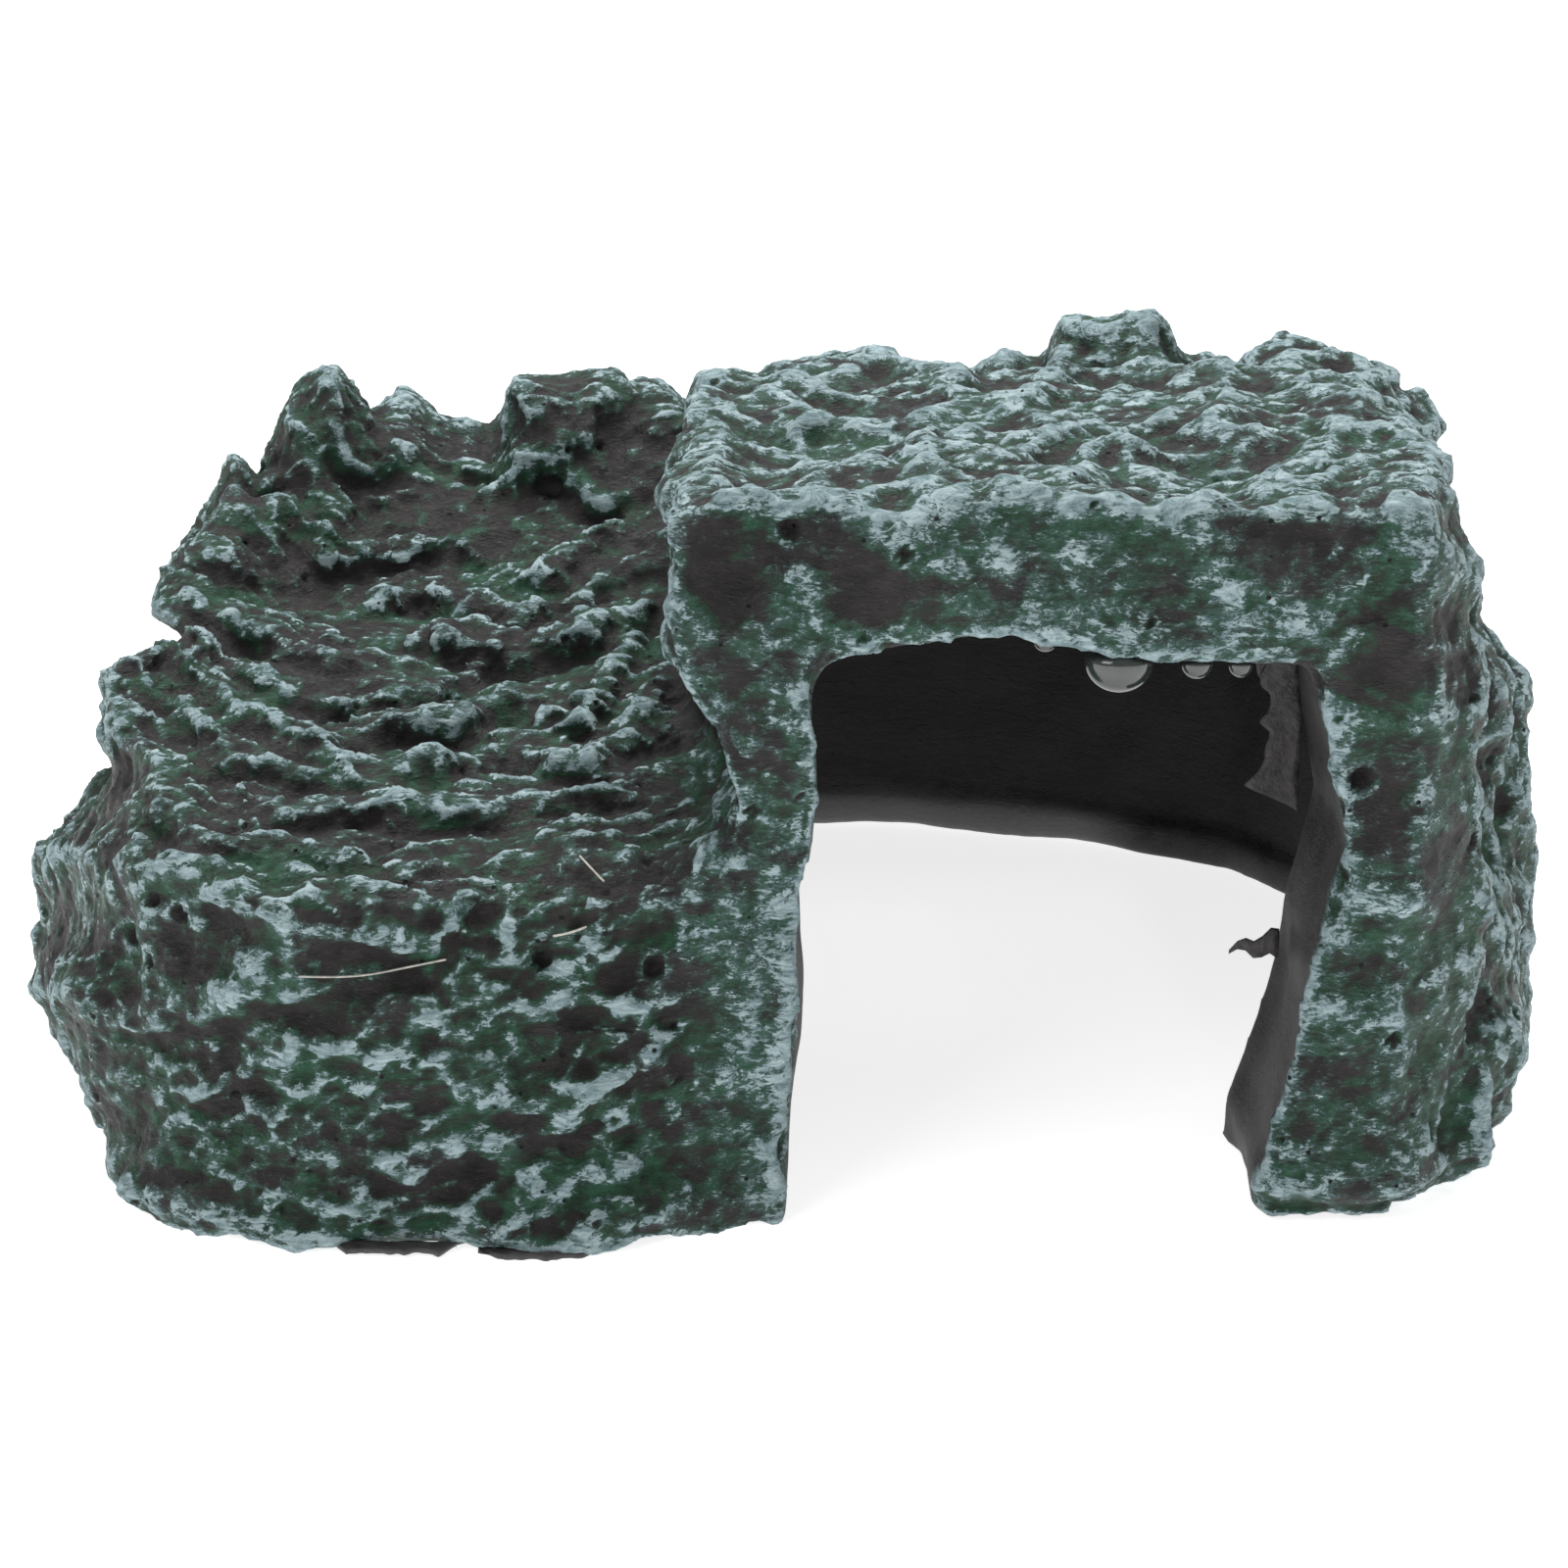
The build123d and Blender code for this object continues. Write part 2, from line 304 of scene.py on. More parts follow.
def lump(centre, width, height):
    """A soft bump (or dent) round a point."""
    return height * np.exp(-np.sum((skin.at - centre) ** 2, axis=1) / width ** 2)


x, _, z = skin.at.T
left = 1 - ease(PORTAL_X - 2, PORTAL_X + 2, x)
big = 1.1 * where["open"] * cloud(skin.at, 22, 3.1, 2) + 0.7 * where["hollow"] * cloud(skin.at, 16, 8.2, 2)
big += where["ramp"] * (
    lump((-28, -22, 42), 24, -2.0) + lump((-40, 8, 57), 12, -3.0) + lump((-53, -3, 52), 9, -2.2))
big += where["ramp"] * (
    lump((-20, 8, 60), 9, -2.5) + lump((-48, 12, 62), 7, -1.0) + lump((-32, 12, 62), 7, -1.0))
big += left * where["open"] * stroke([(-68, -14, 44), (-62, 6, 54), (-55, 20, 64)], 5, 1.8)
big += where["open"] * (lump((-38, 24, 66), 8, -3.5) + lump((67, -44, 40), 9, -2.0))
big += where["roof"] * (
    lump((8, 6, 74), 10, 1.5) + lump((2, -38, 73), 11, -2.4) + lump((42, -38, 73), 16, -2.0))
big += where["roof"] * (lump((38, -5, 73), 9, -1.6) + lump((12, -10, 74), 6, -1.8))
big += where["portal"] * (
    lump((0, -62, 71), 5, -1.2) + lump((30, -62, 68), 9, -0.8) + lump((66, -62, 68), 5, 0.8))
big += where["portal"] * (
    lump((12, -62, 66), 8, 0.7) + lump((48, -62, 64), 8, 0.7) + lump((56, -62, 47), 7, -0.8))
skin.at += big[:, None] * skin.averaged(normal, 4)
skin.at[:, 2] -= 3.5 * where["hollow"] * left * ease(20, 32, z)      # a thicker ceiling under the ramp
print("big moves up to", round(float(np.abs(big).max()), 2), "mm")

# %% [markdown]
# ## Edges of the portal
#
# A casting's edges are never ruled. The entrance's head is a low arch, the cliff at the portal's
# left draws back below its top and swells again in a knuckle, and the rim that stands on the
# ground is rounded off.

# %% Shape the portal and the rim
x, y, z = skin.at.T
# The arch over the entrance.
in_lintel = ease(3, 8, x) * (1 - ease(44, 50, x)) * (1 - ease(-46, -40, y))
in_lintel = in_lintel * ease(50, 54, z) * (1 - ease(58, 67, z))
skin.at[:, 2] += in_lintel * 2.4 * np.exp(-((x - 23) / 14) ** 2)
# The cliff draws back. The knuckle stands out of it, with a recess above.
near_cliff = (1 - ease(-4, 6, x)) * ease(-14, -9, x) * (1 - ease(-46, -20, y)) * where["open"]
skin.at[:, 0] += near_cliff * (6.5 * np.exp(-((z - 47) / 8.0) ** 2) - 0.5 * ease(66, 72, z))
knuckle = where["portal"] * np.exp(-((x - 0) / 5.5) ** 2 - ((z - 57) / 6.5) ** 2)
skin.at[:, 1] -= 2.0 * knuckle
recess = np.exp(-((x + 4) / 4) ** 2 - ((z - 66) / 4.5) ** 2) * (1 - ease(-60, -50, y))
skin.at[:, 1] += 1.8 * recess
# Both jambs swell towards the ground, and the right one has a bend in its shin.
right_foot = ease(42, 50, x) * (1 - ease(-46, -38, y)) * (1 - ease(0, 9, z)) ** 2
skin.at[:, 0] += 3.0 * right_foot * (1 - ease(50, 58, x))
inner = (1 - ease(-46, -38, y)) * ease(0.0, 0.5, where["portal"] + where["hollow"])
skin.at[:, 0] += 1.2 * inner * ease(-6, 0, x) * (1 - ease(6, 12, x)) * (1 - ease(18, 34, z))
right_shin = 1.1 * inner * ease(38, 44, x) * (1 - ease(52, 60, x))
skin.at[:, 0] += right_shin * ease(4, 9, z) * (1 - ease(22, 30, z))

# Upper edge, sides and front of the portal waver.
wobble = np.array([noise.noise(Vector(p)) for p in skin.at / 7.0 + 4.4])
skin.at[:, 2] += 1.6 * wobble * ease(0.3, 0.6, where["portal"] + where["roof"]) * ease(66, 70, z)
skin.at[:, 0] += 1.3 * wobble * where["open"] * (ease(54, 60, x) + near_cliff) * (1 - ease(-50, -40, y))
skin.at[:, 1] += 0.9 * where["portal"] * np.array([noise.noise(Vector(p)) for p in skin.at / 9.0 + 8.1])
normal = skin.store()

# The rim is tucked in all round where it meets the ground.
tuck = (0.8 + 1.6 * ease(-8, 0, x) + 0.8 * ease(40, 50, x)) * where["open"] * (1 - ease(0, 5.5, z)) ** 2
skin.at[:, :2] -= tuck[:, None] * skin.averaged(normal, 6)[:, :2]
skin.at[:, 1] -= (1.3 + 0.6 * ease(-30, -14, x)) * where["bluff"] * (1 - ease(0, 9, z))
short_foot = 1.1 * ease(44, 50, x) * (1 - ease(-60, -50, y)) * (1 - ease(0, 5, z))
skin.at[:, 2] += short_foot         # the right foot stands a little short
normal = skin.store()
print("knuckle stands out", round(float(2.0 * knuckle.max()), 2), "mm")

# %% [markdown]
# ## Fit the outline
#
# A sculptor checks a rock against a template, from one standing place. Here too: every point is
# seen from EYE on an upright plane through the origin. Where the outermost points of a band miss
# the template, they and their neighbours are moved over, so the crest and flanks get their line.

# %% Template of the outline
# In millimetres on the upright plane: (x, z) for the crest, and (z, x) for the two sides.
EYE = np.array([1.0, -348.0, 141.0])
CREST = [
    (-71, 49), (-70, 50.5), (-68, 56), (-65, 58.5), (-60.5, 65), (-58, 65.5), (-53, 73), (-49, 75),
    (-45, 72.5), (-41, 72.5), (-36, 70), (-31, 70), (-29, 73.5), (-19, 74.5), (-9, 72.5), (-2, 73.5),
    (3, 76), (12, 77), (16, 74.5), (19, 74), (25, 76.5), (29, 77.5), (31, 80), (41, 81), (46, 77.5),
    (50, 76), (56, 78.5), (64, 76.5), (71, 73)]
LEFT_SIDE = [
    (-30, -72), (-26, -79), (-15, -81.5), (1, -87.5), (12, -86), (18, -86), (28, -78), (40, -76.5),
    (43, -71.5), (51, -69.5), (58, -65.5), (65, -60)]
RIGHT_SIDE = [
    (-27, 79), (-22, 85), (-14, 87.5), (-6, 89), (20, 88), (29, 86.5), (39, 86), (43, 83.5),
    (46, 80.5), (52, 79.5), (59, 76.5), (69, 74), (73, 71)]


def fit_outline(template, across, up, outward, near, depth=7.0, step=2.5):
    """Move the outermost points so that their outline meets the template.

    across and up are the axes that the template runs along and rises along, outward is the way
    out (1 or -1), and near says which points may move.
    """
    shrink = -EYE[1] / (skin.at[:, 1] - EYE[1])
    seen = EYE + (skin.at - EYE) * shrink[:, None]
    band = np.round(seen[:, across] / step).astype(int)
    lowest = band.min()
    chosen = near > 0.5
    best = np.full(band.max() - lowest + 1, -1e9)
    np.maximum.at(best, band[chosen] - lowest, outward * seen[chosen, up])
    filled = np.flatnonzero(best > -1e8)
    line = np.convolve(np.pad(best[filled], 1, mode="edge"), [0.25, 0.5, 0.25], mode="valid")
    edge = np.interp(seen[:, across], (filled + lowest) * step, line)
    at = np.array(template, float)
    gap = outward * np.interp(seen[:, across], at[:, 0], at[:, 1]) - edge
    first, last = at[0, 0], at[-1, 0]
    inside = ease(first - step, first + step, seen[:, across])
    inside = inside * (1 - ease(last - step, last + step, seen[:, across]))
    weight = ease(-2 * depth, -0.3 * depth, outward * seen[:, up] - edge) * near * inside
    move = np.clip(skin.averaged(gap * weight, 6), -6, 6)
    skin.at[:, up] += outward * move / shrink
    return round(float(np.abs(move).max()), 2)


def fit_all():
    """Crest first, then the two flanks."""
    x, y, z = skin.at.T
    high = where["open"] * ease(0, 12, y) * ease(40, 52, z)
    print("crest moved", fit_outline(CREST, 0, 2, 1, high), "mm;",
          "left", fit_outline(LEFT_SIDE, 2, 0, -1, where["open"] * (1 - ease(-50, -40, x))), "mm;",
          "right", fit_outline(RIGHT_SIDE, 2, 0, 1, where["open"] * ease(55, 62, x)), "mm")


fit_all()
normal = skin.store()

# %% [markdown]
# ## Chiselling
#
# The ramp's ledges lie across the slope and sag in the middle, so its noise lives in a space that
# is bent the same way. Each dish is tipped so that its front rim stands proud, which makes shelves
# with a shadow under them. The bluff has flatter dishes, the flanks have upright furrows, and the
# roof has round hammer marks. A slow second noise makes them deep here and faint there.

# %% Chisel each region
wander = np.array([noise.noise_vector(Vector(p)) for p in skin.at / 9.0]) * 4.6
wander += np.array([noise.noise_vector(Vector(p)) for p in skin.at / 3.5]) * 1.5
vigour = 0.75 + 0.9 * cloud(skin.at, 17, 6.6, 1)
vigour = np.clip(vigour, 0.15, 1.5)


def bent(points, here):
    """Points laid out along the ledges: across the ramp, and up the slope."""
    px, py, pz = (points + wander[here]).T
    return np.column_stack([px, py - 0.009 * (px + 30) ** 2, 0.5 * pz])


def upright(points, here):
    """Points on a wall, slanted a little and stirred."""
    px, py, pz = (points + 0.7 * wander[here]).T
    return np.column_stack([px + 0.2 * pz, py - 0.1 * pz, pz])


def facing(points, here):
    """Points on the front: across and up, rising to the right."""
    px, py, pz = (points + 0.8 * wander[here]).T
    return np.column_stack([px, pz - 0.14 * px, np.zeros(len(points))])


def flat(points, here):
    """Points on the roof, seen from above."""
    px, py, pz = (points + 0.9 * wander[here]).T
    return np.column_stack([px, py, np.zeros(len(points))])


def chisel(mask, layout, size, depth, seed, lean=(0, 0, 0)):
    """Dishes over a region, in its own layout, with rims that stand out by depth."""
    out = np.zeros(skin.count)
    there = mask > 0.01
    cells = dishes(layout(skin.at[there], there), np.array(size, float), seed, lean)
    out[there] = depth * (cells - 0.45) * mask[there] * vigour[there]
    return out


cut = chisel(where["ramp"], bent, (11, 8.5, 10), 2.4, 1.7, (0, -0.45, 0))
cut += chisel(where["ramp"], bent, (5.6, 3.9, 7), 1.5, 5.2, (0, -0.35, 0))
cut += chisel(where["bluff"], facing, (11, 5.5, 6), 2.6, 2.3, (0, -0.25, 0))
cut += chisel(where["roof"], flat, (9, 8, 8), 2.4, 4.4)
cut += chisel(where["flank"], upright, (8, 8, 15), 3.4, 3.6)
cut += chisel(where["flank"], upright, (4.5, 4.5, 7), 1.3, 6.5)
cut += felt(where["portal"], lambda p: 0.8 * cloud(p, 11, 2.7, 2))
print("chiselled up to", round(float(np.abs(cut).max()), 2), "mm")

# %% [markdown]
# ## Ledges drawn one by one
#
# Noise alone looks even. What makes this rock itself is drawn: the lips of the big facets under
# the crest, the sagging shelves of the ramp, the curls on the roof, the steps of the bluff. A
# ledge is a path seen from above (x, y) or from the front (x, z). The rock climbs to a lip on the
# path's left and drops on its right. A rib falls away on both sides.

# %% Paths in millimetres
RAMP_LEDGES = [
    [(-66, 14), (-60, 12), (-55, 11), (-53, 9), (-54, 6), (-51, 3), (-47, 4), (-42, 6), (-37, 7)],
    [(-52, 17), (-50, 14), (-45, 15), (-42, 18)],
    [(-46, -4), (-43, -2), (-38, -1), (-33, -4), (-29, -8), (-24, -6), (-19, -2), (-14, 0)],
    [(-28, -3), (-24, 0), (-20, 3), (-15, 9)],
    [(-67, -6), (-62, -11), (-57, -13), (-52, -16), (-46, -18), (-40, -17)],
    [(-66, -1), (-61, -2), (-57, 0)],
    [(-68, -12), (-64, -19), (-57, -29), (-49, -35), (-45, -40)],
    [(-45, -38), (-43, -32), (-38, -30), (-33, -30), (-28, -23)],
    [(-28, -22), (-23, -29), (-19, -30), (-17, -23), (-15, -13), (-13, -2)],
    [(-38, -40), (-33, -39), (-27, -33), (-22, -39), (-18, -39), (-14, -32), (-11, -20)],
    [(-66, -22), (-60, -32), (-55, -40), (-48, -42), (-42, -42)],
    [(-64, -44), (-57, -55), (-51, -57), (-46, -55), (-40, -57), (-37, -53)],
    [(-55, -53), (-47, -50), (-40, -48), (-31, -49), (-26, -48), (-19, -44), (-12, -45)],
    [(-60, -17), (-52, -25), (-44, -26), (-36, -23), (-30, -14)],
    [(-40, -12), (-33, -13), (-27, -15), (-21, -12), (-16, -8)],
    [(-31, 16), (-26, 14), (-22, 11), (-18, 10), (-13, 13)],
    [(-39, 19), (-34, 18), (-31, 15)],
]
BLUFF_LEDGES = [
    [(-62, 32), (-57, 34), (-53, 34), (-50, 32)],
    [(-52, 35), (-46, 33), (-40, 31), (-34, 31), (-30, 33), (-28, 35), (-26, 34), (-27, 28)],
    [(-67, 19), (-61, 19), (-58, 22), (-54, 22), (-49, 26), (-42, 27)],
    [(-29, 22), (-25, 25), (-21, 24), (-16, 22), (-12, 23), (-7, 26), (-3, 26)],
    [(-29, 15), (-25, 15), (-21, 14), (-16, 16), (-11, 19), (-6, 21), (-1, 20)],
    [(-60, 13), (-54, 13), (-50, 16), (-48, 19)],
    [(-48, 20), (-43, 21), (-38, 19), (-32, 18), (-30, 16)],
    [(-40, 11), (-35, 8), (-30, 10), (-27, 9), (-22, 5), (-16, 6)],
    [(-58, 7), (-53, 6), (-47, 4), (-37, 4)],
    [(-25, 31), (-21, 30), (-16, 31), (-11, 32), (-7, 34), (-2, 37)],
    [(-14, 12), (-9, 10), (-5, 12), (-1, 11)],
]
PORTAL_RIB = [(62, 63), (62, 50), (62, 37), (63, 29), (66, 21), (67, 8)]
ROOF_RIBS = [
    [(-4, -60), (1, -59), (7, -60), (9, -56), (14, -56), (18, -59), (27, -61), (36, -62), (45, -62),
     (56, -62), (66, -58)],
    [(-4, -60), (-6, -49), (-5, -34), (-7, -19), (-8, -8)],
    [(-6, -19), (-2, -24), (2, -26), (6, -24), (11, -26), (15, -26), (20, -14), (19, -1)],
    [(7, -51), (12, -43), (18, -34), (23, -24), (29, -9), (33, 11)],
    [(14, -51), (19, -47), (24, -43), (28, -34), (32, -27), (37, -23), (42, -24), (43, -31)],
    [(30, -46), (31, -38), (34, -36), (37, -38)],
    [(50, 5), (49, -9), (46, -22), (45, -34)],
    [(48, -43), (53, -41), (56, -31), (63, -17), (66, -4)],
    [(47, -59), (52, -51), (57, -43), (62, -40)],
    [(37, -1), (40, -9), (44, -6), (50, 5), (56, 8), (61, 5)],
    [(1, -48), (6, -46), (11, -47), (17, -52)],
    [(-1, -8), (4, -12), (10, -11), (14, -5)],
]


# %% Carve the ledges and ribs
def carve(path, axes, mask, lip, drop, reach):
    """Add one ledge (drop above 0) or rib (drop below 0) where the mask allows it."""
    out = np.zeros(skin.count)
    low, high = np.min(path, axis=0) - 12, np.max(path, axis=0) + 12
    spot = skin.at[:, axes] + 0.45 * wander[:, axes]
    near = np.flatnonzero((mask > 0.01) & np.all((spot > low) & (spot < high), axis=1))
    if len(near) == 0:
        return out
    distance, side, to_end = distance_to(spot[near], path)
    above = lip * np.exp(-distance / reach)
    below = -drop * np.exp(-distance / (0.7 * reach))
    out[near] = np.where(side > 0, above, below) * mask[near] * (0.35 + 0.65 * ease(0, 4, to_end))
    return out


for path in RAMP_LEDGES:
    cut += carve(path, [0, 1], where["ramp"], 1.9, 1.9, 2.8)
for path in BLUFF_LEDGES:
    cut += carve(path, [0, 2], where["bluff"], 1.2, 1.2, 2.4)
for path in ROOF_RIBS:
    cut += carve(path, [0, 1], where["roof"], 2.0, -2.0, 1.8)
cut += carve(PORTAL_RIB, [0, 2], where["portal"], 1.0, -1.0, 1.8)
skin.at += skin.averaged(cut, 1)[:, None] * skin.averaged(normal, 3)
fit_all()
fit_all()
skin.at[:, 2] = np.maximum(skin.at[:, 2], 0)
skin.store()
print("drawn:", len(RAMP_LEDGES) + len(BLUFF_LEDGES) + len(ROOF_RIBS), "ledges and ribs")

# %% [markdown]
# ## Second melt, and the fine tooling
#
# Pushing points apart leaves long thin faces on the steps. A second, finer remesh evens them out,
# and the small cells, the grain and the burst air bubbles go on that fresh skin.

# %% Fine surface
melted(casting, FINE_SPACING)
skin = Skin(casting.data)
skin.at += 0.5 * (skin.averaged(skin.at, 1) - skin.at)
normal = skin.store()
where = regions(normal)
wander = np.array([noise.noise_vector(Vector(p)) for p in skin.at / 4.0]) * 1.3
vigour = np.clip(0.8 + 0.9 * cloud(skin.at, 9, 1.6, 1), 0.1, 1.6)

cut = chisel(where["ramp"], bent, (3.6, 2.0, 5), 0.9, 8.1, (0, -0.4, 0))
cut += chisel(where["bluff"], facing, (3.8, 2.2, 6), 0.9, 7.9)
cut += chisel(where["roof"], flat, (3.4, 2.8, 4), 0.9, 9.1)
cut += chisel(where["flank"], upright, (2.8, 2.8, 5), 0.9, 2.2)
cut += felt(where["portal"], lambda p: 0.28 * cloud(p, 4.5, 2.7, 3))
rugged = where["open"] * (0.42 - 0.16 * where["portal"])
cut += felt(where["open"], lambda p: cloud(p, 2.2, 5.5, 3)) * rugged
cut += felt(where["hollow"], lambda p: 0.10 * cloud(p, 5.0, 3.3, 2))
skin.at += cut[:, None] * skin.averaged(normal, 1)
fit_all()
skin.at[:, 2] = np.maximum(skin.at[:, 2], 0)
normal = skin.store()
print("tooled up to", round(float(np.abs(cut).max()), 2), "mm")

# %% [markdown]
# ## Burst bubbles
#
# Air that was caught in the resin leaves pits: a few big ones whose places are given, and many
# small ones strewn over the outside. The seed makes them fall in the same places on every run.

# %% Burst the bubbles
# Each bubble's middle and radius.
BUBBLES = [
    ((56, -62, 47), 1.2), ((2, -62, 71), 1.0), ((-22, -64, 30), 0.9), ((-11, -62, 28), 1.0),
    ((-63, -53, 28), 1.2), ((-58, -59, 32), 0.9), ((-18, -64, 12), 0.7), ((12, -62, 69), 0.7),
    ((-2, -62, 44), 0.7), ((60, -61, 20), 0.7)]
SMALL_BUBBLES = 330
random.seed(41)
outside = np.flatnonzero(where["open"] > 0.9)
for _ in range(SMALL_BUBBLES):
    centre = tuple(skin.at[outside[random.randrange(len(outside))]])
    BUBBLES.append((centre, random.uniform(0.35, 0.65)))
for centre, radius in BUBBLES:
    near = np.flatnonzero(np.abs(skin.at - centre).max(axis=1) < 2.5 * radius + 1.5)
    if len(near) == 0:
        continue
    middle = skin.at[near[np.argmin(np.sum((skin.at[near] - centre) ** 2, axis=1))]].copy()
    gap = np.linalg.norm(skin.at[near] - middle, axis=1)
    crater = -1.1 * radius * (1 - ease(0.5 * radius, 1.15 * radius, gap))
    raised_ring = 0.12 * radius * np.exp(-((gap - 1.5 * radius) / 0.4) ** 2)
    skin.at[near] += (crater + raised_ring)[:, None] * normal[near]
skin.at[:, 2] = np.maximum(skin.at[:, 2], 0)
normal = skin.store()
print("bubbles:", len(BUBBLES))

# %% [markdown]
# ## What the brush touches
#
# Dry brushing leaves paint only where the rock stands proud. How proud a point is, is how far it
# lies outside the average of its neighbourhood. Two sizes of neighbourhood are measured, and the
# painter's own habits are added: more on the roof and along the portal's rims, less in the big
# facets, where the darker colour under the crest is also painted shade. The sum is kept as an
# attribute on the points, and the material reads it.

# %% Measure the ridges
in_the_open = where["open"] > 0.5
fine = np.sum((skin.at - skin.averaged(skin.at, 3)) * normal, axis=1)
wide = np.sum((skin.at - skin.averaged(skin.at, 24)) * normal, axis=1)
fine = np.clip(fine / fine[in_the_open].std(), -2.5, 2.5)
wide = np.clip(wide / wide[in_the_open].std(), -2.5, 2.0) * (1 - 0.4 * where["portal"])
ridge = 0.6 * fine + 0.55 * wide + 0.45 * (skin.averaged(normal[:, 2], 2) - 0.3)
ridge = ridge - 1.0 * where["ramp"] - 0.1 * where["bluff"]
# Less pale paint in the big facets under the crest: partly the painter's habit, partly painted shade under
# the crest.
ridge -= 0.7 * where["ramp"] * (
    lump((-40, 10, 58), 9, 1.0) + lump((-20, 10, 62), 9, 1.0) + lump((-52, 2, 53), 8, 1.0))
ridge += 0.8 * where["ramp"] * (
    lump((-42, -6, 49), 9, 1.0) + lump((-22, -36, 43), 12, 0.6) + lump((-45, -40, 42), 12, 0.5))
ridge -= 0.9 * where["portal"] * (
    lump((-5, -62, 66), 6, 1.0) + lump((10, -62, 66), 5, 1.0) + lump((58, -62, 58), 5, 1.0))
ridge += 0.8 * where["portal"] * (
    lump((2, -62, 66), 5, 1.0) + lump((24, -62, 66), 7, 0.8) + lump((42, -62, 62), 5, 1.0))
ridge += 0.9 * where["open"] * stroke([(1, -63, 6), (1, -63, 34)], 4.5, 1.0)
ridge = ease(-2.3, 2.7, ridge)

# How far inside the hollow a point is, for the painted shade there, and the lip of the hollow's rear
# wall, for a painted band of light at its foot.
painted_hollow_shade = where["hollow"] * ease(-42, -32, skin.at[:, 1]) * ease(4, 9, skin.at[:, 2])
lip_height = skin.at[:, 2] + 0.03 * skin.at[:, 0]
painted_lip_light = where["hollow"] * ease(48, 54, skin.at[:, 1]) * (1 - ease(4.5, 7.5, lip_height))
for title, values in dict(ridge=ridge, bare=where["hollow"], painted_hollow_shade=painted_hollow_shade, painted_lip_light=painted_lip_light).items():
    layer = casting.data.attributes.new(title, "FLOAT", "POINT")
    layer.data.foreach_set("value", values.astype(np.float32))
print("ridge mean", round(float(ridge[in_the_open].mean()), 3),
      "spread", round(float(ridge[in_the_open].std()), 3))

# %% [markdown]
# ## Cut into pieces
#
# The skin is one surface, but a piece should stay a reasonable size, so its faces are shared out
# between ten pieces, one for each part of the rock. Each keeps the normals that the whole skin
# had, so no seam shows.

# %% Share the faces out
centre = np.empty(len(casting.data.polygons) * 3, np.float32)
casting.data.polygons.foreach_get("center", centre)
centre = centre.reshape(-1, 3) / MM
corners = np.array([p.vertices[0] for p in casting.data.polygons])
covered = where["hollow"][corners] > 0.5
to_left = centre[:, 0] < PORTAL_X
cx, cy, cz = centre.T
low_front = cz < 38 - 0.6 * (cy + 60)
SHARES = {
    "bluff_rock": (~covered & to_left & (cy < -40) & low_front & (cx > -62), ["front_bluff"]),
    "left_flank_rock": (~covered & to_left & (cx < -62) & (cy < 34), ["left_flank"]),
    "back_rock": (~covered & (cy >= 34), ["back_wall"]),
    "ramp_rock": (~covered & to_left, ["climbing_ramp"]),
    "portal_rock": (~covered & ~to_left & (cy < -40) & (cx < 66), ["lintel", "left_jamb", "right_jamb"]),
    "roof_rock": (~covered & ~to_left & (cz > 60), ["basking_roof"]),
    "right_flank_rock": (~covered, ["right_flank"]),
    "hollow_under_ramp": (covered & to_left, ["ramp_cliff"]),
    "hollow_at_the_rear": (covered & (cy > 5), []),
    "hollow_behind_portal": (covered, []),
}


def share(name, keep, nodes):
    """One piece of the skin: the faces in keep, with the whole skin's normals."""
    part = bmesh.new()
    part.from_mesh(casting.data)
    order = part.verts.layers.float_vector.new("whole_normal")
    for vert, direction in zip(part.verts, normal):
        vert[order] = direction
    part.faces.ensure_lookup_table()
    gone = [part.faces[i] for i in np.flatnonzero(~keep)]
    bmesh.ops.delete(part, geom=gone, context="FACES")
    piece = finished(name, part)
    for polygon in piece.data.polygons:
        polygon.use_smooth = True
    directions = np.empty(len(piece.data.vertices) * 3, np.float32)
    piece.data.attributes["whole_normal"].data.foreach_get("vector", directions)
    piece.data.normals_split_custom_set_from_vertices(directions.reshape(-1, 3))
    piece.data.attributes.remove(piece.data.attributes["whole_normal"])
    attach(piece, "root")
    if nodes:
        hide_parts(*nodes)
    print(name, 2 * len(piece.data.polygons), "triangles")
    return piece


rock = []
taken = np.zeros(len(covered), bool)
for name, (keep, nodes) in SHARES.items():
    rock.append(share(name, keep & ~taken, nodes))
    taken |= keep
bpy.data.objects.remove(casting)

# %% [markdown]
# ## Drips under the lintel
#
# Resin that leaked at the mould's joint hangs under the lintel in a few beads. A bead is a sphere
# pulled flat at the top, where it clings, and left round below. Each one is set where the
# underside of the rock is, so it never floats.


# %% Hang the beads
def hand_in(piece, nodes):
    """Smooth faces, ride on the casting, stand for the CAD nodes."""
    for polygon in piece.data.polygons:
        polygon.use_smooth = True
    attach(piece, "root")
    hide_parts(*nodes)
    print(piece.name, len(piece.data.polygons), "faces")
    return piece


def underside(x, y):
    """Height in millimetres of the lintel's lower face over a place on the floor."""
    close = (np.abs(skin.at[:, 0] - x) < 1.2) & (np.abs(skin.at[:, 1] - y) < 1.2)
    close &= (skin.at[:, 2] > 48) & (skin.at[:, 2] < 66) & (normal[:, 2] < -0.3)
    return float(skin.at[close, 2].mean())


